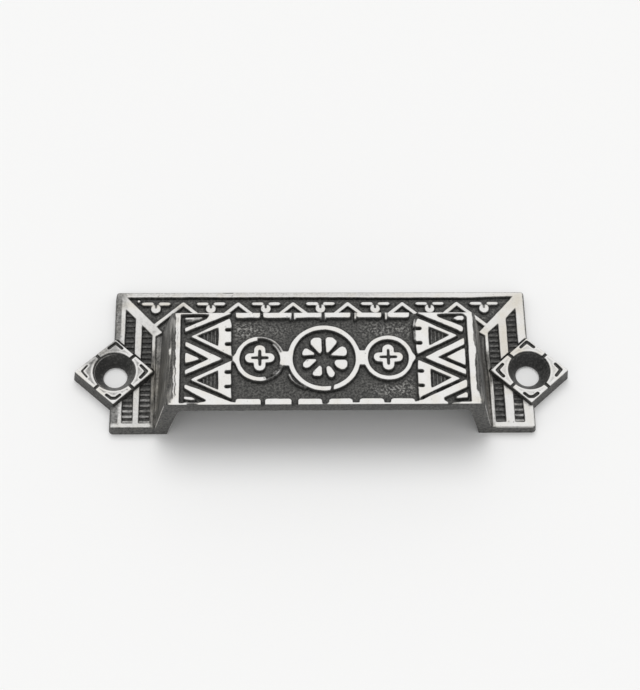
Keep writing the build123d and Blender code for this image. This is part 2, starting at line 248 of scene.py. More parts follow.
rightPanel = {
    "frames": [[(28.1, 2.93), (19.85, 7.0), (19.35, 5.6), (19.3, 0.2), (19.55, -1.3)],
               [(28.1, -7.07), (19.6, -2.8), (19.45, -4.0), (19.45, -10.4), (19.5, -11.9), (19.75, -11.3),
                (20.1, -11.0)]],
    "wells": [[(26.4, 3.04), (22.0, 5.2), (22.0, 0.55)], [(26.5, -6.85), (22.0, -4.7), (22.0, -9.3)]],
    "notches": [(20.0, 4.6), (20.0, 1.2), (20.1, -5.35), (20.1, -8.65)],
    "chevron": [(29.4, 2.35), (20.95, -2.17), (29.4, -6.2), (29.4, -5.0), (23.6, -2.17), (29.4, 0.85)],
    "wedge": [(29.4, -0.04), (25.5, -2.08), (29.4, -4.0)],
    "climbs": [[(28.3, 4.25), (28.7, 3.85), (29.25, 3.95), (29.35, 4.8), (28.95, 5.25), (24.3, 7.25),
                (23.95, 7.6), (23.9, 9.4), (19.4, 9.4), (20.0, 8.25)],
               [(29.3, -7.4), (29.45, -7.6), (29.4, -9.0), (24.55, -11.4), (24.5, -12.0), (25.3, -12.5),
                (25.3, -13.6), (18.4, -13.6), (18.4, -12.4), (20.3, -11.85), (22.5, -10.7), (25.0, -9.5)]],
    "drops": [[(27.25, 7.05), (28.4, 7.55), (29.5, 7.5), (29.65, 7.0), (29.35, 6.6), (28.2, 6.6)],
              [(29.1, 8.6), (30.6, 8.6), (30.6, 7.0)],
              [(27.0, -11.35), (29.1, -10.25), (29.45, -10.4), (29.45, -11.4), (27.3, -11.55)]],
    "rims": [[(24.0, 8.3), (28.9, 8.4), (30.6, 8.2)], [(28.0, -12.65), (30.6, -12.6)]],
}


def drawFace():
    inner, outer = face["borderInner"]
    middle, half = (inner + outer) / 2, (outer - inner) / 2
    relief = Relief(np.minimum(np.abs(boardX - middle) - half, board["far"]))
    relief.disc(face["mainRing"][0], face["mainRing"][1])
    for side, (centre, radius, _) in ((-1, face["leftRing"]), (1, face["rightRing"])):
        relief.disc(centre, radius)
        overlap = face["neckOverlap"]
        neck = sorted((centre[0] - side * (radius - overlap), side * (face["mainRing"][1] - overlap)))
        relief.bar(neck[0], neck[1], centre[1] - face["neckHalf"], centre[1] + face["neckHalf"])
        root, tip = centre[0] + side * (radius - face["tipOverlap"]), side * face["tipX"]
        relief.shape([(root, centre[1] + face["tipRootHalf"]), (tip, centre[1] + face["tipHalf"]),
                      (tip, centre[1] - face["tipHalf"]), (root, centre[1] - face["tipRootHalf"])])
    for centre, _, hole in (face["mainRing"], face["leftRing"], face["rightRing"]):
        relief.disc(centre, hole, sunk=True)
    # the left ring was badly cast: its inner half is only a thin outline
    centre, radius, hole = face["leftRing"]
    for start, end in face["lostArcs"]:
        lost = arc(centre, (radius + hole) / 2, start, end)
        relief.line(lost, radius - hole + face["lostWider"], sunk=True)
    for inset, start, end, width in face["outerRemains"]:
        relief.line(arc(centre, radius - inset, start, end), width)
    for inset, start, end, width in face["innerRemains"]:
        relief.line(arc(centre, hole + inset, start, end), width)
    relief.line(*face["mainRingCut"], sunk=True)
    for points, width in face["flash"]:
        relief.line(points, width)
    for petal in petals:
        relief.shape(petal)
    slit, (heartX, heartY) = face["slitHalf"], face["heartHalf"]
    for (x, y), halfX, halfY, armX, armY in face["crosses"]:
        relief.line([(x - halfX + armY / 2, y), (x + halfX - armY / 2, y)], armY)
        relief.line([(x, y - halfY + armX / 2), (x, y + halfY - armX / 2)], armX)
        for u, v in ((slit, 0), (0, slit)):
            relief.line([(x - u, y - v), (x + u, y + v)], face["slitWidth"], sunk=True)
        relief.shape([(x - heartX, y), (x, y - heartY), (x + heartX, y), (x, y + heartY)], sunk=True)
    for far, near, deep, cuts, dashes in face["dashRows"]:
        for start, end in dashes:
            cut = cuts[start > 0]
            relief.shape([(start, far), (start, near + deep), (start + cut, near), (end - cut, near),
                          (end, near + deep), (end, far)])
    for x, width in face["ticks"]:
        relief.line([(x, y) for y in face["tickEnds"]], width)
    for bar in face["frontBars"]:
        relief.bar(*bar)
    start, end, width = face["notch"]
    for panel in (leftPanel, rightPanel):
        for points in panel["frames"]:
            relief.shape(points)
        for points in panel["wells"]:
            relief.shape(points, sunk=True)
        for x, y in panel["notches"]:
            out = -1 if x > 0 else 1
            relief.line([(x + start * out, y), (x + end * out, y)], width, sunk=True)
            relief.shape([(x + dx * out, y + dy) for dx, dy in face["notchLip"]])
        for points in [panel["chevron"], panel["wedge"]] + panel["climbs"] + panel["drops"]:
            relief.shape(points)
        for points in panel["rims"]:
            relief.line(points, face["rimWidth"])
    return relief.finish(11, face["soften"], face["waver"])


def drawWellRibs():
    ribs, half = Relief(np.full(boardX.shape, -board["far"])), face["wellRibHalf"]
    for side in (-1, 1):
        for x in face["wellRibXs"]:
            reach = (face["wellTip"] - x) * face["wellSlope"]
            for y in face["wellRibYs"]:
                ribs.bar(side * x - half, side * x + half, y - reach, y + reach)
    return soften(ribs.depth, face["wellRibSoften"])


# the band over the hood and the two legs, on the plate's own level
plateLayout = {
    "band": [(-42.55, 18.55), (-20.0, 18.5), (0.0, 18.47), (18.0, 18.33), (33.0, 18.33), (42.45, 18.7),
             (32.8, 8.0), (-32.85, 8.0)],
    "motifStart": -0.15, "motifPitch": 11.97, "peak": 16.83, "valley": 11.6, "zigzag": 0.71,
    "ballY": 15.6, "ball": 1.02, "ballSlot": (0.3, 1.5, 0.54),   # slot: from, to, width
    # leaves: both ends, height of the widest place, cuts of the far and near corners
    "leafY": 16.85, "leaves": [(-3.15, -0.42), (0.55, 3.22)], "leafWidest": 0.02,
    "leafFar": (0.35, 0.33), "leafNear": (0.4, 0.35),
    "columns": [[(-42.72, -11.72), (-40.3, -11.72), (-40.3, 13.2), (-42.6, 15.65)],
                [(-39.12, -11.72), (-36.65, -11.72), (-36.6, 9.2), (-39.0, 11.85)],
                [(36.65, -11.76), (38.9, -11.76), (38.88, -2.0), (38.68, 3.0), (38.68, 11.95), (36.2, 9.6),
                 (36.2, 3.0), (36.6, -2.0)],
                [(40.75, -11.76), (42.88, -11.76), (42.75, 4.0), (42.72, 15.85), (40.35, 13.1), (40.35, 5.0),
                 (40.72, -3.0)]],
    "sides": [[(-30.0, -14.0), (-36.02, -14.0), (-36.0, 8.9), (-30.0, 12.5)],
              [(30.0, -14.0), (36.02, -14.0), (35.98, -2.0), (35.62, 3.0), (35.62, 8.9), (30.0, 12.5)]],
    "foot": -11.72, "ribPitch": 1.27, "rib": 0.5, "firstRib": 0.45, "lastRib": 0.8,
    "soften": 0.11, "waver": 0.035, "ribSoften": 0.1, "ribWaver": 0.06, "ribWave": 1.1,
    "lump": ((-39.8, 17.5), 0.27),   # left by the sand
    "crack": ([(-21.5, 19.68), (-20.2, 19.6), (-19.4, 19.56)], 0.5),   # in the rim
    "earGroove": -0.12, "grooveCloses": 0.42,   # closes towards the front
}


def drawPlate():
    layout = plateLayout
    relief = Relief(np.full(boardX.shape, board["far"]))
    for points in [layout["band"]] + layout["columns"] + layout["sides"]:
        relief.shape(points, sunk=True)
    start, pitch = layout["motifStart"], layout["motifPitch"]
    turns = [(start + k * pitch / 2, layout["peak"] if k % 2 else layout["valley"]) for k in range(-6, 7)]
    relief.line(turns, layout["zigzag"])
    (low, high, slot), widest = layout["ballSlot"], layout["leafWidest"]
    (farIn, far), (nearIn, near) = layout["leafFar"], layout["leafNear"]
    for k in range(-3, 4):
        x, y = start + k * pitch, layout["ballY"]
        relief.disc((x, y), layout["ball"])
        relief.line([(x, y + low), (x, y + high)], slot, sunk=True)
        for a, b in layout["leaves"]:
            left, right, y = x + a, x + b, layout["leafY"]
            relief.shape([(left, y + widest), (left + farIn, y + far), (right - farIn, y + far),
                          (right, y + widest), (right - nearIn, y - near), (left + nearIn, y - near)])
    relief.disc(*layout["lump"])
    relief.line(*layout["crack"], sunk=True)
    depth = relief.finish(23, layout["soften"], layout["waver"])
    # the ears stand in a narrow groove
    groove = layout["earGroove"] + layout["grooveCloses"] * (1 - ramp(boardY, -0.5, 0.5))
    return np.minimum(depth, groove - earIn)


def drawRibs():
    layout = plateLayout
    ribs, half = Relief(np.full(boardX.shape, -board["far"])), layout["rib"] / 2
    for column in layout["columns"]:
        xs, ys = zip(*column)
        first, last = layout["foot"] + layout["firstRib"], max(ys) - layout["lastRib"]
        for y in np.arange(first, last, layout["ribPitch"]):
            ribs.bar(min(xs), max(xs), y - half, y + half)
    return soften(ribs.depth, layout["ribSoften"]) + layout["ribWaver"] * unevenness(31, layout["ribWave"])


# lines that part each ear into four leaves, and the small chevrons cut in them
ears = {
    "partings": [(4.15, 3.75), (4.15, -3.95), (-3.85, 3.75), (-3.8, -3.8)],
    "partingWidth": 0.72, "partingIn": 0.35, "partingOut": 1.5,
    "chevrons": [[(38.8, 1.4), (37.55, 0.03), (38.8, -1.42)], [(50.25, 1.42), (51.35, 0.1), (50.2, -1.3)],
                 [(43.0, 5.5), (44.4, 6.8), (45.8, 5.55)],
                 [(43.05, -5.5), (43.95, -6.3), (44.9, -6.3), (45.9, -5.5)]],
    "chevronWidth": 0.74, "wornWidth": 0.48, "wornPast": 50,   # the far left one is nearly gone
    "soften": 0.11, "waver": 0.03,
}


def drawEars():
    relief = Relief(np.full(boardX.shape, board["far"]))
    for side in (-1, 1):
        for dx, dy in ears["partings"]:
            x, y = side * (casting["holeX"] - dx), dy
            back, out = ears["partingIn"], ears["partingOut"] / math.hypot(dx, dy)
            relief.line([(x + side * dx * back, y - dy * back), (x - side * dx * out, y + dy * out)],
                        ears["partingWidth"], sunk=True)
        for chevron in ears["chevrons"]:
            worn = side < 0 and chevron[1][0] > ears["wornPast"]
            relief.line(turned(chevron, side), ears["wornWidth" if worn else "chevronWidth"], sunk=True)
    return relief.finish(41, ears["soften"], ears["waver"])


def halfWidth(y):
    # half the plate's width, which grows a little down the legs
    return casting["plateHalf"] + casting["legFlare"] * ramp(-y, *casting["flareBelow"])


def plateOutline():
    corner = casting["plateCorner"]
    qx = np.abs(boardX) - (halfWidth(boardY) - corner)
    qy = boardY - (pullHigh.y - corner)
    return corner - np.hypot(np.maximum(qx, 0), np.maximum(qy, 0)) - np.minimum(np.maximum(qx, qy), 0)


def legCornerOutline():
    # the rounded front corner of each leg, measured from its foot
    radius = casting["legCorner"]
    qx = np.abs(boardX) - (halfWidth(boardY) - radius)
    qy = pullLow.y + radius - boardY
    return np.where((qx > 0) & (qy > 0), radius - np.hypot(qx, qy), board["far"])


def earOutline(side):
    reach, half = casting["earReach"], casting["earHalfHeight"]
    slant = reach * half / math.hypot(reach, half)
    growth = 1 + (casting["earTop"] * plateRun - casting["earCorner"]) / slant
    diamond = [(reach * growth, 0), (0, half * growth), (-reach * growth, 0), (0, -half * growth)]
    outward = side * boardX - casting["holeX"]
    outward = np.where(outward > 0, outward / casting["outerReach"], outward)
    return polygonIn(outward, boardY, diamond) + casting["earCorner"]


def ramp(value, low, high):
    t = np.clip((value - low) / (high - low), 0, 1)
    return t * t * (3 - 2 * t)


def wall(inset, height, run, radius):
    # height of a drafted wall with a rounded top edge, by the distance in from its foot
    draft = math.atan(run)
    end = height * run + radius * math.tan((math.pi / 2 - draft) / 2)
    start = end - radius * math.cos(draft)
    curve = height - radius + np.sqrt(np.maximum(radius ** 2 - (end - inset) ** 2, 0))
    return np.where(inset < start, inset / run, np.where(inset < end, curve, height))


def step(depth, height, foot=casting["foot"]):
    # height over the ground at a depth in from a raised shape's edge
    run = foot / height * casting["footShare"]
    return np.clip(wall(depth + foot, height, run, casting["reliefArris"]), 0, height)


def joined(a, b, reach):
    # the higher of two heights, with a small cove where they meet
    return np.maximum(a, b) + np.maximum(reach - np.abs(a - b), 0) ** 2 / (4 * reach)


# where the bright borders of the face and the edges of the casting are worn, and where painted shade beside
# the raised shapes ends, in millimetres
wear = {
    "borderBulge": (-0.6, 1.1, 0.42),   # middle, reach and size
    "borderWaves": [(0.05, 2.1, 0), (0.03, 5.3, 1)],   # size, rate and shift
    "borderLean": 0.014, "leftRagged": 1.5,
    "legX": 36.2, "outerColumnX": 39.8, "overPlate": 2.72,
    "shapeEdge": (-0.08, 0.08), "shadeBesideShape": (-0.08, 0.02),
    "corners": [[(-30.2, -10.0), (-32.1, -12.9), (-30.0, -12.9)],
                [(31.2, -9.3), (31.9, -10.4), (32.25, -12.9), (31.2, -12.9)],
                [(-32.3, 0.2), (-31.8, -0.2), (-31.85, -1.5), (-32.2, -1.1)]],
    # yellowed places: x, y and how far they reach along each
    "warm": [(39.6, 8.0, 1.6, 7.0), (42.6, 17.2, 2.6, 2.4), (42.6, 4.6, 1.5, 1.0), (-36.2, 16.5, 9.0, 0.9),
             (35.4, 9.6, 1.6, 1.6), (31.6, -12.0, 1.4, 0.8), (-36.0, -3.0, 1.2, 9.0), (35.2, -4.0, 0.9, 8.0),
             (-33.6, -4.0, 1.5, 9.0)],
}
# how bright the metal is worn from 0 to 1, or how much less it is where it is duller; the second sink number
# and the highlight and shade entries are painted light and shade
rubbedAndLit = {
    "middleOfBorder": (0.3, 0.25), "wellRibs": 0.1, "shoulderHighlight": 0.7, "faceCorners": 0.95,
    "plate": 0.94, "rearRim": 0.2, "leftEdge": 0.78, "leftRear": 0.45, "leftFront": 0.85, "rightArrisShade": 0.85,
    "besideLeftEnd": (0.72, 0.2), "besideRightEnd": (0.3, 0.6), "leftBarShade": (0.2, 0.25), "rightBarShade": 0.06,
    "leftLeg": 0.14, "outerRibs": (0.04, 0.4), "innerRibs": (0.05, 0.2), "rightInnerRibs": 0.08,
    "leftLeaves": (0.5, 0.15), "rightLeaves": 0.24, "earFarSide": 0.5,
    "sink": (0.01, 0.08), "sinkRing": 0.5, "rightSinkRing": 0.1,
    "leftFoot": (0.06, 0.22), "rightFoot": (0.05, 0.3), "hoodWall": 0.015, "frontEdgeHighlight": 0.7,
    "rightFrontHighlight": 0.8, "hoodFrontShade": 0.005, "frontWall": 0.035, "underEdgeHighlight": (0.6, 0.3),
}
# how much is streaked with wear at the edges, to the left and to the right
streaked = {"besideBorders": (0.75, 0.45), "hoodEnds": (0.44, 0.35), "besideEnds": 0.9,
            "hoodFoot": (0.3, 0.3)}
# how much painted shade darkens the ground close to the raised shapes, how dark the countersinks are with
# painted shade towards their far side, and how much lighter the band's ground is at the rear
groundShade = {"band": 0.7, "panels": 0.35, "ringPanel": 0.8, "rearOfBand": 0.42, "sink": (0.5, 0.8)}


def borders(y):
    # outer edges of the bright borders down the two ends of the face
    left, right = face["borderOuter"]
    middle, reach, size = wear["borderBulge"]
    ragged = sum(much * np.sin(y * often + shift) for much, often, shift in wear["borderWaves"])
    left = left - wear["borderLean"] * (2 + y) + wear["leftRagged"] * ragged
    return left, right + size * np.exp(-((y - middle) / reach) ** 2) + ragged


# the finer heights of the surface in millimetres; ribs by their height and the width of their slopes,
# lumps, ripples and stipples by their height and how wide they are
surface = {
    "hoodFoot": 0.32, "hoodFootX": 36.4, "hoodFootFade": 0.3, "hoodFootY": (8.5, 10.5), "sinkClear": 0.2,
    "rib": (0.34, 0.16), "wellRib": (0.32, 0.14), "ribFoot": 0.9, "ribClear": 0.3, "groundClear": 0.02,
    "stipple": (0.1, 0.55, 0.36), "stippleHalf": 19.3, "stippleLeast": 0.13,
    "lumps": (0.018, 4.0), "ripples": (0.012, 1.3), "hoodCove": 0.6, "hollowCove": 1.2, "sharpAngle": 48,
}

print("drawing the outlines")
plateIn = plateOutline()
earIn = np.maximum(earOutline(-1), earOutline(1))
legCornerIn = legCornerOutline()
baseIn = np.maximum(np.minimum(plateIn, legCornerIn), earIn)
flare = casting["hoodFlare"] * (casting["hoodRear"] - boardY) / (casting["hoodRear"] - frontLine)
hoodEndIn = casting["hoodHalf"] + top * endRun + flare - np.abs(boardX)
hoodRearIn = casting["hoodRear"] + top * rearRun - boardY
hollowEndIn = hoodEndIn - casting["endWall"]
hollowRearIn = hoodRearIn - casting["rearWall"]
hoodHeight = np.minimum(wall(hoodEndIn, top, endRun, casting["shoulder"]),
                        wall(hoodRearIn, top, rearRun, casting["rearArris"]))
faceIn, wellIn = drawFace(), drawWellRibs()
plateRaisedIn, ribIn, earRaisedIn = drawPlate(), drawRibs(), drawEars()
lumps, ripples = unevenness(61, surface["lumps"][1]), unevenness(62, surface["ripples"][1])
stippling = unevenness(63, surface["stipple"][1]) + unevenness(64, surface["stipple"][2])
# places on the ring panel's ground where the stippling is still sharp, how wide they are and how sharp
stippled = [(-16.3, 4.6, 3.2, 2.0, 1.0), (11.5, 4.7, 3.0, 1.7, 0.75), (16.5, 4.8, 3.0, 2.0, 0.6),
            (13.6, -9.2, 3.6, 1.3, 0.95), (17.5, -8.6, 2.0, 2.0, 0.6), (-26.6, 5.6, 2.2, 1.2, 0.7),
            (-10.0, 4.4, 3.0, 1.6, 0.3)]
sharpness = surface["stippleLeast"] + sum(much * np.exp(-((boardX - x) / a) ** 2 - ((boardY - y) / b) ** 2)
                                          for x, y, a, b, much in stippled)


def plateWall(outline, corners):
    # height of the plate's walls, by the distances in from its outline and from its legs' corners
    return np.minimum(wall(outline, casting["plateTop"], plateRun, casting["plateArris"]),
                      wall(corners, casting["plateTop"], plateRun, casting["legCornerArris"]))


def ribbed(height, ground, ribs, size):
    # adds low ribs where nothing higher stands on the ground
    rise, slope = size
    onGround = height < ground + surface["ribClear"]
    return height + rise * np.clip(ribs / slope + surface["ribFoot"], 0, 1) * onGround


def topHeight(x, y):
    plate = plateWall(sample(plateIn, x, y), sample(legCornerIn, x, y))
    fromLeg = surface["hoodFootX"] - np.abs(x)
    hoodFoot = surface["hoodFoot"] * ramp(fromLeg, 0, surface["hoodFootFade"])
    ground = plateGround + hoodFoot * (1 - ramp(y, *surface["hoodFootY"]))
    cut = ground + step(sample(plateRaisedIn, x, y), casting["plateRelief"])
    plate = np.minimum(plate, ribbed(cut, ground, sample(ribIn, x, y), surface["rib"]))
    leaves = earGround + step(sample(earRaisedIn, x, y), casting["earRelief"], casting["earFoot"])
    ear = np.minimum(wall(sample(earIn, x, y), casting["earTop"], plateRun, casting["earArris"]), leaves)
    carved = faceGround + step(sample(faceIn, x, y), casting["faceRelief"])
    carved = ribbed(carved, faceGround, sample(wellIn, x, y), surface["wellRib"])
    stipple = surface["stipple"][0] * sample(stippling, x, y) * sample(sharpness, x, y)
    onGround = carved < faceGround + surface["groundClear"]
    carved = carved + stipple * onGround * (np.abs(x) < surface["stippleHalf"])
    hood = np.minimum(sample(hoodHeight, x, y), carved)
    z = np.maximum(joined(plate, hood, surface["hoodCove"]), ear)
    uneven = surface["lumps"][0] * sample(lumps, x, y) + surface["ripples"][0] * sample(ripples, x, y)
    z = z + uneven * np.clip(z, 0, 1)
    for side in (-1, 1):
        r = np.hypot(x - side * casting["holeX"], y)
        cone = casting["earTop"] - (casting["sinkRadius"] - r) / sinkRun
        z = np.where(r < casting["sinkRadius"] + surface["sinkClear"], np.minimum(z, cone), z)
    arris = np.where(x < casting["leftLegX"], casting["leftLegArris"], casting["frontArris"])
    edge = np.clip(y - frontLine, 0, arris)
    z = z - (arris - np.sqrt(np.maximum(arris ** 2 - (arris - edge) ** 2, 0))) * np.clip(z, 0, 1)
    return np.clip(z, 0, top)


def backHeight(x, y):
    # the flat back, and the hollow of the hood by its end and rear walls; the cove between them also
    # lowers the ceiling by a quarter of its reach
    ends = wall(sample(hollowEndIn, x, y), ceiling, hollowRun, casting["hollowCorner"])
    rear = wall(sample(hollowRearIn, x, y), ceiling, rearRun, casting["hollowCorner"])
    return np.clip(-joined(-ends, -rear, surface["hollowCove"]), 0, ceiling)


def levelLines(field, level, keep=None):
    # the lines on which a field has one value, as chains of points across the board
    f = np.where(field == level, 1e-7, field - level)   # no point lies just on the line
    up = f > 0
    rows, columns = f.shape
    links, places = {}, {}
    count = rows * columns

    def place(edge):
        if edge not in places:
            j, i = divmod(edge % count, columns)
            a = f[j, i]
            b = f[j, i + 1] if edge < count else f[j + 1, i]
            t = a / (a - b)
            u, v = (i + t, j) if edge < count else (i, j + t)
            places[edge] = (board["left"] + board["step"] * u, frontLine + board["step"] * v)

    mixed = up[:-1, :-1].astype(int) + up[:-1, 1:] + up[1:, :-1] + up[1:, 1:]
    for j, i in zip(*np.nonzero((mixed > 0) & (mixed < 4))):
        j, i = int(j), int(i)
        corners = (up[j, i], up[j, i + 1], up[j + 1, i + 1], up[j + 1, i])
        sides = (j * columns + i, count + j * columns + i + 1, (j + 1) * columns + i, count + j * columns + i)
        crossed = [s for s, a, b in zip(sides, corners, corners[1:] + corners[:1]) if a != b]
        if len(crossed) == 4 and up[j, i] == (f[j, i] + f[j, i + 1] + f[j + 1, i] + f[j + 1, i + 1] > 0):
            pairs = [(crossed[0], crossed[1]), (crossed[2], crossed[3])]
        elif len(crossed) == 4:
            pairs = [(crossed[0], crossed[3]), (crossed[1], crossed[2])]
        else:
            pairs = [tuple(crossed)]
        for a, b in pairs:
            links.setdefault(a, []).append(b)
            links.setdefault(b, []).append(a)
    chains = []
    ends = [e for e, near in links.items() if len(near) == 1]
    seen = set()
    for first in ends + list(links):
        if first in seen:
            continue
        chain, here = [first], first
        seen.add(first)
        while True:
            ahead = [e for e in links[here] if e not in seen]
            if not ahead:
                break
            here = ahead[0]
            seen.add(here)
            chain.append(here)
        if len(chain) > 2 and first in links[here]:
            chain.append(first)
        for edge in chain:
            place(edge)
        chains.append(np.array([places[edge] for edge in chain]))
    if keep is None:
        return [c for c in chains if len(c) > 3]
    kept = []
    for chain in chains:
        good = sample(keep, chain[:, 0], chain[:, 1]) > 0
        for part in np.split(np.arange(len(chain)), np.nonzero(np.diff(good.astype(int)))[0] + 1):
            if len(part) > 3 and good[part[0]]:
                kept.append(chain[part])
    return kept


def thinned(chain, tolerance, longest):
    # leaves out the points that a straight run doesn't need
    keep = {0, len(chain) - 1}
    spans = [(0, len(chain) - 1)]
    if np.hypot(*(chain[0] - chain[-1])) < 1e-9:
        middle = int(np.argmax(np.hypot(*(chain - chain[0]).T)))
        keep.add(middle)
        spans = [(0, middle), (middle, len(chain) - 1)]
    while spans:
        a, b = spans.pop()
        if b - a < 2:
            continue
        run = chain[b] - chain[a]
        length = max(np.hypot(*run), 1e-9)
        offset = chain[a + 1:b] - chain[a]
        away = np.abs(offset[:, 0] * run[1] - offset[:, 1] * run[0]) / length
        split = a + 1 + int(np.argmax(away))
        if away.max() <= tolerance:
            if length <= longest:
                continue
            split = (a + b) // 2
        keep.add(split)
        spans += [(a, split), (split, b)]
    return chain[sorted(keep)]


class Skin:
    # a height over the plan, cut into triangles along its own level lines
    def __init__(self):
        self.points, self.edges = [], []

    def add(self, chain):
        start = len(self.points)
        for x, y in chain:
            onFront = abs(y - frontLine) < 1e-6   # there both skins share their points
            self.points.append((round(float(x), 2), frontLine) if onFront else (float(x), float(y)))
        self.edges += [(start + i, start + i + 1) for i in range(len(chain) - 1)]

    def ring(self, centre, radius, steps):
        self.add(arc(centre, radius, 0, 360, steps)[:-1] + [(centre[0] + radius, centre[1])])

    def fill(self, spacing, seed, where):
        # loose points between the lines on a shaken triangular grid, none close to a line
        def cell(x, y):
            return int(math.floor(x / spacing * 1.6)), int(math.floor(y / spacing * 1.6))

        taken = {cell(x, y) for x, y in self.points}
        random = np.random.default_rng(seed)
        xs = np.arange(board["left"], -board["left"], spacing)
        ys = np.arange(frontLine + spacing * 0.6, pullHigh.y, spacing * 0.87)
        x, y = np.meshgrid(xs, ys)
        x[::2] += spacing / 2
        x, y = [(c + random.uniform(-0.17, 0.17, c.shape) * spacing).ravel() for c in (x, y)]
        inside = (sample(where, x, y) > spacing * 0.4) & (y > frontLine + spacing * 0.4)
        self.points += [p for p in zip(x[inside].tolist(), y[inside].tolist()) if cell(*p) not in taken]

    def triangles(self):
        corners = [Vector(p) for p in self.points]
        points, _, faces, _, _, _ = delaunay_2d_cdt(corners, self.edges, [], 1, 1e-5)
        points = np.array([tuple(p) for p in points])
        faces = np.array([f for f in faces if len(f) == 3])
        middle = points[faces].mean(axis=1)
        inBore = np.minimum(*[np.hypot(middle[:, 0] - s * casting["holeX"], middle[:, 1]) for s in (-1, 1)])
        faces = faces[inBore > casting["boreRadius"] * 0.99]
        a, b, c = [points[faces[:, k]] for k in range(3)]
        area = (b[:, 0] - a[:, 0]) * (c[:, 1] - a[:, 1]) - (b[:, 1] - a[:, 1]) * (c[:, 0] - a[:, 0])
        faces[area < 0] = faces[area < 0][:, ::-1]
        return points, faces[np.abs(area) > 1e-12]


print("tracing the level lines")
# lines that the skins are cut along, besides the level lines: by x, y or in from an edge
meshLines = {
    "chain": (0.011, 0.8), "rib": (0.02, 0.8), "rim": (0.008, 0.7),   # tolerance and longest edge
    "frontStep": 0.6, "frontCorner": 0.08, "boreSteps": 64, "sinkSteps": 72,
    "sink": (3.3, 3.9, 4.16, 4.27, 4.38, 4.5, 4.65, 4.78, 4.92, 5.15),
    "behindFront": (0.05, 0.12, 0.2, 0.3, 0.45), "behindFrontPoints": 220, "behindFrontInset": 0.3,
    "borders": (-0.62, -0.48, -0.34, -0.2, -0.1, 0.04), "bordersTo": 8.3,
    "leftBorder": (0.2, 0.34, 0.48), "leftBorderTo": 7.6, "borderFrom": 0.4, "borderStep": 0.35,
    "leftEdge": (-43.3, -43.55), "leftEdgeFrom": 0.55, "leftEdgeEar": 9.5, "leftEdgeTo": 19.0,
    "leftFront": (-43.2, -36.4, -12.5), "edgeStep": 0.6,
    "strip": (0.5, 0.15),   # rows of the front strip, under its upper edge
    "atFront": 1e-4, "atBore": 0.02,   # as close as a point of the outline lies
    "stippleSpacing": 0.27, "stippleTo": 19.4, "topSpacing": 0.5, "backSpacing": 1.4,
}
plateHeight = plateWall(plateIn, legCornerIn)
earHeight = wall(earIn, casting["earTop"], plateRun, casting["earArris"])
raised = np.maximum(hoodHeight, earHeight)
onFace = hoodHeight - faceGround + 0.1
onPlate = np.minimum(plateHeight - plateGround, casting["plateTop"] + 0.2 - raised)
onEar = earHeight - earGround + 0.1
hollowIn = np.minimum(hollowEndIn, hollowRearIn)
# for each skin: a field, its levels, where they are kept and how closely they are followed
levels = {
    "top": [
        (plateHeight, [1.0, 1.75, 2.15, 2.3, 2.42, 2.52, 2.57], 2.7 - raised, "chain"),
        (earHeight, [0.9, 1.8, 2.62, 3.2, 3.4, 3.5, 3.57], None, "chain"),
        (hoodHeight, [2.0, 2.45, 2.8, 3.2, 4.6, 6.2, 8.0, 9.8, 11.4, 12.6, 13.2, 13.7, 14.0, 14.2, 14.28],
         None, "chain"),
        (faceIn, [-0.3, -0.16, -0.045, 0.0, 0.045, 0.15], onFace, "chain"),
        (plateRaisedIn, [-0.3, -0.16, -0.04, 0.05, 0.16], onPlate, "chain"),
        (earRaisedIn, [-0.16, -0.08, -0.01, 0.05, 0.15, 0.3, 0.45], onEar, "chain"),
        (earIn, [0.98, 1.22], None, "chain"),
        (ribIn, [-0.14, 0.02], np.minimum(onPlate, -0.15 - plateRaisedIn), "rib"),
        (wellIn, [-0.12, 0.02], -0.2 - faceIn, "rib"),
    ],
    "back": [(hollowIn, [0, 0.9, 1.6, 2.0, 2.5, 3.1, 3.7, 4.3], None, "chain")],
}
skins = {name: Skin() for name in levels}
rim = [thinned(chain, *meshLines["rim"]) for chain in levelLines(baseIn, 0)]
for name, skin in skins.items():
    for field, values, keep, kind in levels[name]:
        for value in values:
            for chain in levelLines(field, value, keep):
                skin.add(thinned(chain, *meshLines[kind]))
    for chain in rim:
        skin.add(chain)
# the points along the front: those where a line ends there, more at both ends, and none far apart
frontXs = {x for skin in skins.values() for x, y in skin.points if y == frontLine}
frontXs |= {round(side * (max(frontXs) - meshLines["frontCorner"] * k), 2) for side in (-1, 1)
            for k in range(1, 10)}
frontXs = sorted(frontXs)
for a, b in list(zip(frontXs, frontXs[1:])):
    pieces = max(1, math.ceil((b - a) / meshLines["frontStep"]))
    frontXs += [round(x, 2) for x in np.linspace(a, b, pieces + 1)]
frontXs = sorted(set(frontXs))
for skin in skins.values():
    skin.add([(x, frontLine) for x in frontXs])
    for side in (-1, 1):
        skin.ring((side * casting["holeX"], 0), casting["boreRadius"], meshLines["boreSteps"])
topSkin = skins["top"]
for side in (-1, 1):
    for radius in meshLines["sink"]:
        topSkin.ring((side * casting["holeX"], 0), radius, meshLines["sinkSteps"])
inset = meshLines["behindFrontInset"]
for height in meshLines["behindFront"]:
    xs = np.linspace(frontXs[0] + inset, frontXs[-1] - inset, meshLines["behindFrontPoints"])
    topSkin.add([(x, frontLine + height) for x in xs])
for name in ("borders", "leftBorder"):
    ys = np.arange(frontLine + meshLines["borderFrom"], meshLines[name + "To"], meshLines["borderStep"])
    left, right = borders(ys)
    for u in meshLines[name]:
        topSkin.add(list(zip(left + u, ys)))
        if name == "borders":
            topSkin.add(list(zip(right - u, ys)))
ear = meshLines["leftEdgeEar"]
for x in meshLines["leftEdge"]:
    for start, end in ((frontLine + meshLines["leftEdgeFrom"], -ear), (ear, meshLines["leftEdgeTo"])):
        topSkin.add([(x, y) for y in np.arange(start, end, meshLines["edgeStep"])])
start, end, y = meshLines["leftFront"]
topSkin.add([(x, y) for x in np.arange(start, end, meshLines["edgeStep"])])
panelGround = np.minimum(-0.3 - faceIn, meshLines["stippleTo"] - np.abs(boardX))
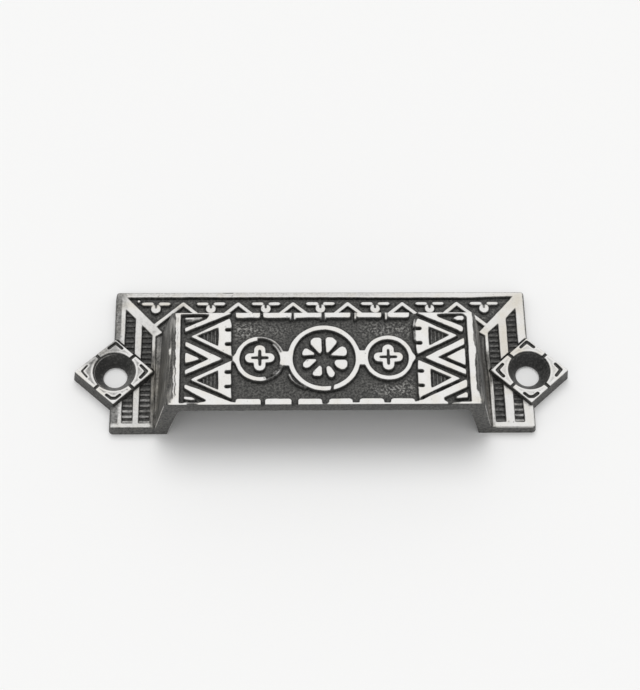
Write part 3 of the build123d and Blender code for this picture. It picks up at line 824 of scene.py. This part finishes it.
topSkin.fill(meshLines["stippleSpacing"], 70, np.minimum(panelGround, hoodHeight - faceGround))
topSkin.fill(meshLines["topSpacing"], 71, baseIn)
skins["back"].fill(meshLines["backSpacing"], 72, baseIn)


def boundaryOf(faces):
    # edges with one triangle only, in the direction that the triangle runs them
    runs = np.concatenate([faces[:, [0, 1]], faces[:, [1, 2]], faces[:, [2, 0]]])
    have = {(int(a), int(b)) for a, b in runs}
    return [(a, b) for a, b in have if (b, a) not in have]


def castingMesh():
    # the two skins share their outline; a strip closes the front and a sleeve each bore
    vertices, index = [], {}

    def vertex(*place):
        key = tuple(round(float(c), 4) for c in place)
        if key not in index:
            index[key] = len(vertices)
            vertices.append(tuple(float(c) for c in place))
        return index[key]

    def frontOf(x, z):
        # where the front wall is at a height, with the legs' corners rounded
        inset = plateRun * min(max(z, 0), casting["plateTop"])
        radius = casting["legCorner"]
        past = abs(x) - float(halfWidth(frontLine)) + radius
        if past <= 0 or radius - inset <= past:
            return pullLow.y + inset if past <= 0 else frontLine
        return min(pullLow.y + radius - math.sqrt((radius - inset) ** 2 - past ** 2), frontLine)

    polygons, columns, bores = [], {}, {}
    for name in ("top", "back"):
        points, faces = skins[name].triangles()
        x, y = points[:, 0], points[:, 1]
        z = topHeight(x, y) if name == "top" else backHeight(x, y)
        edges = boundaryOf(faces)
        atEdge = {i for pair in edges for i in pair}
        numbers = []
        for i in range(len(points)):
            px, py, pz = x[i], y[i], z[i]
            onFront = abs(py - frontLine) < meshLines["atFront"]
            if onFront and abs(px) > frontXs[-1] - 0.001:
                pz = 0   # the skins meet at both ends of the front
            fromBore = abs(math.hypot(abs(px) - casting["holeX"], py) - casting["boreRadius"])
            if i in atEdge and onFront:
                number = vertex(px, frontOf(px, pz), pz)
                columns.setdefault(round(float(px), 3), {})[name] = (number, float(pz), float(px))
            elif i in atEdge and fromBore < meshLines["atBore"]:
                number = vertex(px, py, pz)
                bores.setdefault((round(float(px), 3), round(float(py), 3)), {})[name] = number
            else:
                number = vertex(px, py, 0 if i in atEdge else pz)
            numbers.append(number)
        order = faces if name == "top" else faces[:, ::-1]
        polygons += [tuple(numbers[i] for i in face) for face in order]
        print(name, "skin has", len(faces), "triangles,", len(edges), "edges round it")
    stacks = []
    for key in sorted(columns):
        low, high = columns[key]["back"], columns[key]["top"]
        x, corner = high[2], casting["plateTop"]
        # rows close under the worn edge, and one at the foot of the legs' rounded corners
        heights = [h for h in (high[1] - down for down in meshLines["strip"])
                   if h > max(low[1], corner * (high[1] > 3.2)) + 0.05 and abs(h - corner) > 0.1]
        if low[1] < corner - 0.01 and high[1] > corner + 0.01:
            heights.append(corner)
        stack = [low[0]] + [vertex(x, frontOf(x, h), h) for h in sorted(heights)]
        if high[0] != low[0]:
            stack.append(high[0])
        stacks.append(stack)
    for left, right in zip(stacks, stacks[1:]):
        # joined from the top down, so that the worn edge stays a thin line
        i, j = len(left) - 1, len(right) - 1
        while i > 0 or j > 0:
            below = ([left[i - 1]] if i > 0 else []) + ([right[j - 1]] if j > 0 else [])
            polygons.append((left[i], *below, right[j]))
            i, j = max(i - 1, 0), max(j - 1, 0)
    for side in (-1, 1):
        around = {math.atan2(y, x - side * casting["holeX"]): pair for (x, y), pair in bores.items()
                  if x * side > 0}
        pairs = [around[angle] for angle in sorted(around)]   # in order round the bore
        for a, b in zip(pairs, pairs[1:] + pairs[:1]):
            polygons.append((a["top"], b["top"], b["back"], a["back"]))
    return np.array(vertices), polygons


print("building the casting")
places, polygons = castingMesh()
mesh = bpy.data.meshes.new("pullCasting")
mesh.from_pydata((places * mm).tolist(), [], polygons)
mesh.validate(verbose=False)
mesh.update()
runs = {}
for polygon in mesh.polygons:
    for a, b in polygon.edge_keys:
        runs[(a, b)] = runs.get((a, b), 0) + 1
print("casting has", len(mesh.vertices), "vertices,", len(mesh.polygons), "faces and",
      sum(1 for n in runs.values() if n != 2), "open edges")
pull = bpy.data.objects.new("pullCasting", mesh)
bpy.context.collection.objects.link(pull)
for polygon in mesh.polygons:
    polygon.use_smooth = True
mesh.set_sharp_from_angle(angle=math.radians(surface["sharpAngle"]))


def paintWearAndLight():
    # how far each spot is worn bright: flats fully, ground not at all, outer walls a little; in places
    # painted light and shade as well
    # the numbers in a ramp are millimetres, where it begins and where it is full
    x, y, z = places.T
    onBoard = np.maximum(y, frontLine)
    away, atLeft = np.abs(x), x < 0
    hood, plate, earFoot, faceEdge, plateEdge, earEdge, ribs, wells, uneven = [
        sample(field, x, onBoard) for field in (hoodHeight, plateHeight, earIn, faceIn, plateRaisedIn,
                                                earRaisedIn, ribIn, wellIn, ripples)]
    mottled = 0.5 + 0.5 * uneven

    def bySide(atLeftSide, atRightSide):
        return np.where(atLeft, atLeftSide, atRightSide)

    def between(name, share):
        # the first amount and a share of the second
        low, more = rubbedAndLit[name]
        return low + more * share

    # the face, with the hood's end walls darker outside its borders
    left, right = borders(y)
    inBorder = ramp(x, left - 0.1, left + 0.04) * (1 - ramp(x, right - 0.04, right + 0.1))
    onTop = ramp(hood, 13.4, 13.9) * ramp(z, 12.9, 13.3)
    faceShine = ramp(faceEdge, *wear["shapeEdge"]) * ramp(z, 13.8, 14.1) * inBorder
    middleOfLeft = np.exp(-((x - left - 0.34) / 0.15) ** 2) * ramp(y, -4.0, 1.0)
    faceShine = faceShine * (1 - between("middleOfBorder", uneven) * middleOfLeft)
    wellRibs = ramp(wells, -0.08, 0.06) * (faceEdge < -0.12)
    # painted highlight along the upper edge of the left shoulder, beside the border
    leftShoulderHighlight = ramp(x, left - 0.62, left - 0.48) * (1 - ramp(x, left - 0.34, left - 0.2))
    leftShoulderHighlight = leftShoulderHighlight * (1 - ramp(y, -5.0, -3.5))
    brighter = [(rubbedAndLit["wellRibs"], wellRibs), (rubbedAndLit["shoulderHighlight"], leftShoulderHighlight)]
    for corner in wear["corners"]:
        inCorner = ramp(polygonIn(x, y, corner), -0.12, 0.12) * ramp(z, 12.0, 13.2)
        brighter.append((rubbedAndLit["faceCorners"], inCorner))
    for much, where in brighter:
        faceShine = np.maximum(faceShine, much * where)
    hoodWall = ramp(hood, 2.7, 3.0) * (1 - onTop)

    # the plate: duller down the left leg's outer edge, at its rear corner and beside the hood, with painted
    # shade along the right edge's rounded arris
    plateShine = ramp(plate, 2.1, 2.4) * ramp(z, 2.3, 2.52) * ramp(plateEdge, *wear["shapeEdge"])
    rearRim = ramp(y, 18.6, 18.9) * (1 - ramp(x, 5, 30)) * ramp(plateEdge, 0.06, 0.25)
    plateShine = plateShine * (rubbedAndLit["plate"] - rubbedAndLit["rearRim"] * rearRim)
    leftEdge = ramp(-x, 43.3, 43.55) * (1 - 0.5 * ramp(y, 17, 19)) * ramp(y, -12.0, -11.7)
    leftRear = ramp(-x, 41.6, 42.9) * ramp(y, 14.5, 17)
    leftFront = (1 - ramp(y, -12.64, -12.48)) * atLeft
    # painted shade: a dark line down the rounded arris of the plate's right edge
    rightArrisShade = (1 - ramp(plate, 2.42, 2.54)) * (x > 43) * ramp(y, 8.5, 9.5) * (1 - ramp(y, 18.8, 19.3))
    # the strip beside the hood's ends is rough and half worn; the mitred bar has the painted shade of a
    # crease along its middle, mottled on the left
    besideEnd = ramp(36.75 - away, 0, 0.1) * (1 - ramp(y, 4.0, 6.0))
    barCreaseShade = np.exp(-((away + y * 0.92 - 45.5) / 0.5) ** 2) * ramp(y, 9.0, 10.0)
    barCreaseShade = barCreaseShade * (1 - ramp(y, 16, 17.5))
    leftLeg = atLeft * ramp(-x, 35.5, 36) * (1 - ramp(y, 12, 16))
    halfWorn = bySide(between("besideLeftEnd", mottled), between("besideRightEnd", ramp(y, -4, -2)))
    for much, where in [
            (rubbedAndLit["leftEdge"], leftEdge), (rubbedAndLit["leftRear"], leftRear), (rubbedAndLit["leftFront"], leftFront),
            (rubbedAndLit["rightArrisShade"], rightArrisShade), (rubbedAndLit["leftLeg"], leftLeg), (halfWorn, besideEnd),
            (bySide(between("leftBarShade", mottled), rubbedAndLit["rightBarShade"]), barCreaseShade)]:
        plateShine = plateShine * (1 - much * where)
    outer = away > wear["outerColumnX"]
    ribShine = np.where(outer, between("outerRibs", 1 - ramp(y, -8.5, -5.5)),
                        between("innerRibs", 1 - ramp(y, -6, -3))) * (0.6 + 0.8 * mottled)
    ribShine = np.where(atLeft | outer, ribShine, rubbedAndLit["rightInnerRibs"])
    ribShine = ribShine * ramp(ribs, -0.08, 0.05) * (plateEdge < -0.12) * ramp(z, 1.95, 2.1)
    onPlate = z < wear["overPlate"]
    plateShine = np.maximum(plateShine, ribShine) * (1 - ramp(hood, 2.45, 2.75)) * onPlate

    # the ears: satin leaves with brighter edges, the left one darker
    dx = x - np.sign(x) * casting["holeX"]
    fromHole = np.hypot(dx, y)
    leafTop = ramp(earEdge, 0.15, 0.42) * ramp(earFoot, 0.95, 1.25) * ramp(fromHole, 4.8, 5.15)
    farSide = ramp(y, 0.5, 2.5) * ramp(-x, 42, 45) * (1 - 0.6 * leafTop)
    dulled = bySide(between("leftLeaves", ramp(-x, 44, 48)), rubbedAndLit["rightLeaves"]) * leafTop
    earShine = ramp(z, 3.42, 3.56) * ramp(earEdge, -0.06, 0.06)
    earShine = earShine * (1 - dulled - rubbedAndLit["earFarSide"] * farSide)
    onEar = ramp(earFoot, 0.0, 0.25)
    shine = plateShine * (1 - onEar) + earShine * onEar

    # countersinks: nearly black, the left one with a thin ring left in it and painted light on its lower
    # right, partly its machining marks
    lit = between("sink", ramp(0.8 * dx - y, 0.0, 4.5) * atLeft)
    ring = np.exp(-((fromHole - 4.27) / 0.06) ** 2) * bySide(ramp(-dx, -1.0, 2.5), rubbedAndLit["rightSinkRing"])
    inSink = fromHole < casting["sinkRadius"] - 0.05
    shine = np.where(inSink, lit + rubbedAndLit["sinkRing"] * ring, shine)

    # the hood's foot and walls, and the face over all of them
    besideHood = ramp(wear["legX"] - away, 0.0, 0.4) * ramp(away, 34.4, 35.0)
    besideHood = besideHood * (z < 3.4) * (1 - ramp(y, 8.5, 10))
    roughFoot = bySide(between("leftFoot", mottled * (0.5 + 0.5 * (1 - ramp(y, -3, 1)))),
                       between("rightFoot", mottled * (1 - ramp(y, -7, -4))))
    shine = np.maximum(shine, besideHood * roughFoot * (earFoot < -0.1))
    shine = np.maximum(shine, rubbedAndLit["hoodWall"] * hoodWall)
    shine = shine * (1 - onTop) + faceShine * onTop

    # thin bright edge where the hood's ends and the right leg meet the front: painted highlight and edge wear
    underTop = topHeight(x, onBoard) - z
    atTop = np.abs(underTop) < 0.02
    front = 1 - ramp(y, frontLine + 0.05, frontLine + 0.2)
    onSlope = (hood > 2.85) & (hood < 13.4)
    shine = np.where(atTop & onSlope, np.maximum(shine, rubbedAndLit["frontEdgeHighlight"] * front), shine)
    # the front strip is dark, darkest under the hood's front as painted shade
    under = (y < frontLine + 0.001) & ~atTop
    legEdge = (z > 2.2) & (x > wear["legX"]) & (z < casting["plateTop"])
    strip = np.where(legEdge, rubbedAndLit["rightFrontHighlight"],
                     np.where(z > 12, rubbedAndLit["hoodFrontShade"], rubbedAndLit["frontWall"]))
    shine = np.where(under, strip, shine)
    shine = np.where(under & onSlope & (underTop < 0.2), bySide(*rubbedAndLit["underEdgeHighlight"]), shine)

    # the ground is stippled in places; painted shade darkens it close to the raised shapes, and it is darker
    # in the columns
    ground = np.where(z > 13.2, (1 - ramp(faceEdge, -0.45, -0.22)) * sample(sharpness, x, onBoard), 0)
    shaded = np.where(z > 12.9, ramp(faceEdge, -0.85, -0.3) * (1 - ramp(faceEdge, *wear["shadeBesideShape"])), 0)
    inBand = (z < 2.58) & (hood < 2.3) & (earFoot < 0)
    inGroove = ramp(plateEdge, -0.75, -0.25) * (1 - ramp(plateEdge, *wear["shadeBesideShape"]))
    shaded = np.where(inBand, inGroove, shaded)
    shaded = np.maximum(shaded, inBand * (away > wear["legX"]) * (y < 14) * (plateEdge < -0.1))
    onPanels = np.where(away > surface["stippleHalf"], groundShade["panels"], groundShade["ringPanel"])
    ground = ground - np.where(inBand, groundShade["band"], onPanels) * shaded
    ground = ground + groundShade["rearOfBand"] * inBand * (y > 11) * (1 - shaded)
    # the countersinks are dark, with painted shade deepening towards their far, upper side
    least, more = groundShade["sink"]
    ground = np.where(inSink, -least - more * ramp(y - 0.5 * dx, -2.5, 2.5), ground)

    # streaks of wear beside the borders, down the hood's ends and at their foot
    outside = np.minimum(x - left, right - x)
    edge = ramp(hood, 12.4, 13.6) * (1 - ramp(outside, -0.15, 0.05)) * bySide(*streaked["besideBorders"])
    onEnd = ramp(sample(hoodRearIn, x, onBoard) - sample(hoodEndIn, x, onBoard), -0.2, 0.4)
    edge = np.maximum(edge, hoodWall * bySide(*streaked["hoodEnds"])) * (0.1 + 0.9 * onEnd)
    edge = np.maximum(edge, streaked["besideEnds"] * besideEnd * ramp(plateEdge, -0.3, 0) * onPlate)
    least, more = streaked["hoodFoot"]
    edge = np.maximum(edge, (least + more * mottled) * besideHood)
    warm = sum(np.exp(-((x - a) / c) ** 2 - ((y - b) / d) ** 2) for a, b, c, d in wear["warm"])
    # stipple holds the stippling and, below zero, the painted shade of the ground
    return {"shine": shine, "stipple": ground, "edge": np.where(under, 0.0, edge),
            "warm": np.clip(warm, 0, 1)}


for name, values in paintWearAndLight().items():
    layer = mesh.attributes.new(name, "FLOAT", "POINT")
    layer.data.foreach_set("value", np.asarray(values, dtype=np.float32))


class Value:
    # a shader socket that can be used in plain arithmetic
    def __init__(self, nodes, socket):
        self.nodes, self.socket = nodes, socket

    def maths(self, operation, a, b, clamp=False):
        return self.nodes.node("ShaderNodeMath", {"operation": operation, "use_clamp": clamp}, {0: a, 1: b})

    def __add__(self, other): return self.maths("ADD", self, other)
    def __radd__(self, other): return self.maths("ADD", other, self)
    def __sub__(self, other): return self.maths("SUBTRACT", self, other)
    def __rsub__(self, other): return self.maths("SUBTRACT", other, self)
    def __mul__(self, other): return self.maths("MULTIPLY", self, other)
    def __rmul__(self, other): return self.maths("MULTIPLY", other, self)
    def __truediv__(self, other): return self.maths("DIVIDE", self, other)
    def __rtruediv__(self, other): return self.maths("DIVIDE", other, self)
    def clamped(self): return self.maths("ADD", self, 0.0, clamp=True)


class Nodes:
    # the node tree of a material or a world
    def __init__(self, owner):
        owner.use_nodes = True
        self.owner, self.tree = owner, owner.node_tree

    def plug(self, socket, value):
        if isinstance(value, Value):
            self.tree.links.new(value.socket, socket)
        else:
            socket.default_value = value

    def node(self, kind, settings=None, sockets=None, out=0):
        made = self.tree.nodes.new(kind)
        for name, value in (settings or {}).items():
            setattr(made, name, value)
        for name, value in (sockets or {}).items():
            self.plug(made.inputs[name], value)
        return Value(self, made.outputs[out])

    def mix(self, factor, a, b):
        return self.node("ShaderNodeMix", {"data_type": "RGBA"}, {0: factor, 6: a, 7: b}, out=2)

    def noise(self, vector, scale, detail):
        return self.node("ShaderNodeTexNoise", {}, {"Vector": vector, "Scale": scale, "Detail": detail})

    def fit(self, name, sockets):
        # puts values or links on a node the tree came with
        for socket, value in sockets.items():
            self.plug(self.tree.nodes[name].inputs[socket], value)


castMetal = {
    "bright": (0.89, 0.88, 0.86, 1), "brightWarm": (0.78, 0.74, 0.66, 1), "dull": (0.46, 0.45, 0.435, 1),
    "dark": (0.034, 0.034, 0.033, 1), "grey": (0.165, 0.162, 0.152, 1), "brown": (0.085, 0.075, 0.055, 1),
    "brightRoughness": 0.34, "darkRoughness": 0.5, "roughnessPatches": 0.2, "specular": 0.38,
    # from where a noise counts, and how steeply
    "pitted": (0.735, 14), "flecked": (0.53, 8), "yellowed": (0.46, 4), "dulled": (0.62, 5),
    # scales and details of the noises, and how the streaks are drawn out
    "patches": (330.0, 3.0), "grain": (2100.0, 3.0), "fine": (5200.0, 1.0), "pits": (1250.0, 1.0),
    "streaks": (2300.0, 3.0), "streakScale": (1.0, 0.08, 0.3), "streakTurn": (0.0, 0.0, 0.05),
    # how strong each is in the bright metal
    "edgeStreaks": 5, "edgePatches": 1.5, "edgeLift": 0.05, "metallic": (0.35, 0.6), "yellow": (0.5, 0.8),
    "dullShare": 0.6, "streakWear": 0.34, "flecks": 0.34, "specks": 0.75,
    "patchWear": 0.16, "fineWear": 0.14, "pitWear": 0.45,
    # and in the dark one
    "grainDirt": (1.6, 3.6), "fineDirt": (0.8, 1.2), "streakDirt": 1.8, "edgeDirt": 0.18, "dirtAndShade": 0.27,
    "stippleAndShade": 0.2, "stain": 1.4,
    "bumps": {"grain": 0.6, "roughGrain": 1.6, "streaks": 1.2, "fine": 0.25, "pits": 2, "strength": 0.6,
              "distance": 0.00012},
}


def castMetalMaterial():
    look = castMetal
    made = Nodes(bpy.data.materials.new("rubbed cast metal"))
    shine, stipple, edge, warm = [made.node("ShaderNodeAttribute", {"attribute_name": name}, out=2)
                                  for name in ("shine", "stipple", "edge", "warm")]
    spot = made.node("ShaderNodeTexCoord", out=3)
    along = made.node("ShaderNodeMapping", {}, {"Vector": spot, "Scale": look["streakScale"],
                                                "Rotation": look["streakTurn"]})
    patches, grain, fine, pitting = [made.noise(spot, *look[name])
                                     for name in ("patches", "grain", "fine", "pits")]
    streaks = made.noise(along, *look["streaks"])

    def above(noise, name):
        least, steep = look[name]
        return ((noise - least) * steep).clamped()

    # half-worn places break up into specks, and the flats keep a few pits
    halfWorn = shine * (1 - shine) * 4
    pits = above(pitting, "pitted") * shine
    edgeWear = (streaks - 0.5) * look["edgeStreaks"] + (patches - 0.5) * look["edgePatches"]
    rubbedEdge = edge * (edgeWear + look["edgeLift"]).clamped() * look["streakWear"]
    rough = stipple.clamped()
    flecks = above(grain, "flecked") * rough * rough * look["flecks"]
    worn = (shine + rubbedEdge + flecks + (grain - 0.5) * look["specks"] * halfWorn
            + (patches - 0.5) * look["patchWear"] * shine + (fine - 0.55) * look["fineWear"] * shine
            - pits * look["pitWear"]).clamped()
    grainDirt, fineDirt = [look[name][0] + rough * look[name][1] for name in ("grainDirt", "fineDirt")]
    # the stipple attribute is below zero where painted shade darkens the ground, and that lowers the dark
    # tone here
    dirtAndShade = ((grain - 0.5) * grainDirt + (fine - 0.5) * fineDirt + (streaks - 0.5) * edge * look["streakDirt"]
            + edge * look["edgeDirt"] + look["dirtAndShade"] + stipple * look["stippleAndShade"]).clamped()
    stained = made.mix(warm * edge * look["stain"], look["grey"], look["brown"])
    darkTone = made.mix(dirtAndShade, look["dark"], stained)
    inPatches, inPlaces = look["yellow"]
    yellowed = (above(patches, "yellowed") * inPatches + warm * inPlaces).clamped()
    brightTone = made.mix(yellowed, look["bright"], look["brightWarm"])
    brightTone = made.mix(above(grain, "dulled") * look["dullShare"], brightTone, look["dull"])
    bump = look["bumps"]
    height = (grain * (bump["grain"] + rough * bump["roughGrain"]) + streaks * edge * bump["streaks"]
              + fine * bump["fine"] - pits * bump["pits"])
    made.fit("Principled BSDF", {
        "Base Color": made.mix(worn, darkTone, brightTone),
        "Metallic": (worn * look["metallic"][1] + look["metallic"][0]).clamped(),
        "Roughness": (look["darkRoughness"] - worn * (look["darkRoughness"] - look["brightRoughness"])
                      + (patches - 0.5) * look["roughnessPatches"]).clamped(),
        "Specular IOR Level": look["specular"],
        "Normal": made.node("ShaderNodeBump", {}, {"Strength": bump["strength"],
                                                   "Distance": bump["distance"], "Height": height}),
    })
    return made.owner


mesh.materials.append(castMetalMaterial())
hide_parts("bin_pull")
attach(pull, "root")

print("setting the floor, lights and camera")
studio = {"floor": 3.0, "floorColour": (0.93, 0.93, 0.925, 1), "floorRoughness": 0.9, "floorSpecular": 0.1,
          "floorBelow": 0.00002, "backdrop": 0.93, "ambient": 0.63,
          "sun": 1.31, "sunAngle": 40, "sunTilt": 25, "sunTurn": 4}
half = studio["floor"] / 2
floorMesh = bpy.data.meshes.new("floor")
corners = [(-half, -half, 0), (half, -half, 0), (half, half, 0), (-half, half, 0)]
floorMesh.from_pydata(corners, [], [(0, 1, 2, 3)])
floor = bpy.data.objects.new("floor", floorMesh)
floor.location.z = -studio["floorBelow"]
bpy.context.collection.objects.link(floor)
paper = Nodes(bpy.data.materials.new("pale paper"))
paper.fit("Principled BSDF", {"Base Color": studio["floorColour"], "Roughness": studio["floorRoughness"],
                              "Specular IOR Level": studio["floorSpecular"]})
floorMesh.materials.append(paper.owner)

# the room is white where it is seen and in the metal, and gives an even light
sky = Nodes(bpy.data.worlds.new("studio"))
bpy.context.scene.world = sky.owner
direct, mirrored, passing = [sky.node("ShaderNodeLightPath", out=name)
                             for name in ("Is Camera Ray", "Is Glossy Ray", "Is Transmission Ray")]
seen = (direct + mirrored + passing).clamped()
sky.fit("Background", {"Color": (1, 1, 1, 1),
                       "Strength": studio["ambient"] + seen * (studio["backdrop"] - studio["ambient"])})

sunData = bpy.data.lights.new("window", "SUN")
sunData.energy = studio["sun"]
sunData.angle = math.radians(studio["sunAngle"])
sun = bpy.data.objects.new("window", sunData)
sun.rotation_euler = (math.radians(-studio["sunTilt"]), 0, math.radians(studio["sunTurn"]))
sun.visible_glossy = False   # metal sees the white room, not the lamp
bpy.context.collection.objects.link(sun)

# the camera stands where the photograph was taken from
shot = {"azimuth": -4.06, "elevation": 63.08, "roll": 3.45, "distance": 370.87, "target": (-0.31, 7.98, 0),
        "focalPixels": 1700.25, "longSide": 690, "sensor": 36, "clip": (0.01, 10)}
azimuth, elevation, roll = [math.radians(shot[name]) for name in ("azimuth", "elevation", "roll")]
level = math.cos(elevation)
back = Vector((math.sin(azimuth) * level, -math.cos(azimuth) * level, math.sin(elevation)))
right = Vector((0, 0, 1)).cross(back).normalized()
up = back.cross(right)
rolledRight = math.cos(roll) * right + math.sin(roll) * up
rolledUp = -math.sin(roll) * right + math.cos(roll) * up
cameraData = bpy.data.cameras.new("camera")
cameraData.sensor_width = shot["sensor"]
cameraData.lens = shot["focalPixels"] * shot["sensor"] / shot["longSide"]
cameraData.clip_start, cameraData.clip_end = shot["clip"]
camera = bpy.data.objects.new("camera", cameraData)
camera.matrix_world = (Matrix.Translation((Vector(shot["target"]) + back * shot["distance"]) * mm)
                       @ Matrix((rolledRight, rolledUp, back)).transposed().to_4x4())
bpy.context.collection.objects.link(camera)
bpy.context.scene.camera = camera
bpy.context.scene.view_settings.view_transform = "Standard"
